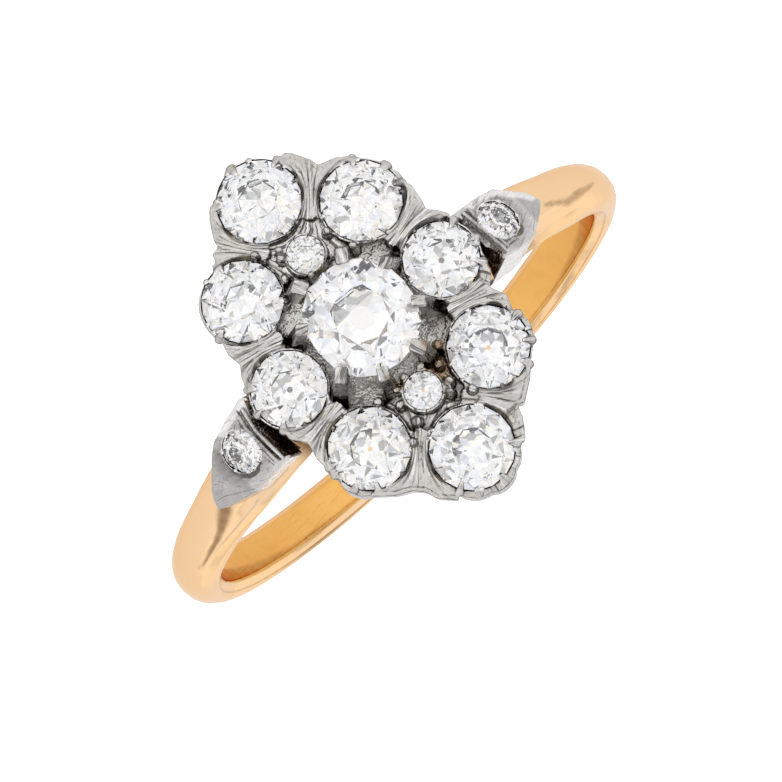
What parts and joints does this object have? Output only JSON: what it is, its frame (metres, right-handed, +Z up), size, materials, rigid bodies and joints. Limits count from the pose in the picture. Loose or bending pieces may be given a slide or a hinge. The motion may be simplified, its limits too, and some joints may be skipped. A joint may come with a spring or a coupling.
{
  "type": "diamond cluster ring",
  "caption": "Gold finger ring with a long lozenge cluster of old cut diamonds in white metal collets, a raised claw-set centre stone and pointed diamond-set shoulders.",
  "frame": {"origin": "centre of the finger hole, on its axis", "axes": "+Z up from the surface that the ring lies on, -Y out of the cluster's front, +X along the shank behind the cluster; the finger's axis leans back from +Z by the angle at which the ring rests"},
  "size_m": [0.0194, 0.0221, 0.0132],
  "materials": {
    "rose_gold": "polished gold with fine wear scratches",
    "white_metal": "platinum, bright on edges and dark in the crevices",
    "diamond": "faceted old cut diamond"
  },
  "bodies": {
    "root": {"shank": "rose_gold", "cluster_setting": "white_metal", "shoulder_setting_left": "white_metal", "shoulder_setting_right": "white_metal", "centre_diamond": "diamond", "shoulder_diamond_left": "diamond", "shoulder_diamond_right": "diamond", "end_diamond_upper": "diamond", "corner_diamond_upper_right": "diamond", "side_diamond_right": "diamond", "corner_diamond_lower_right": "diamond", "end_diamond_lower": "diamond", "corner_diamond_lower_left": "diamond", "side_diamond_left": "diamond", "corner_diamond_upper_left": "diamond", "accent_diamond_upper": "diamond", "accent_diamond_lower": "diamond"}
  },
  "joints": []
}
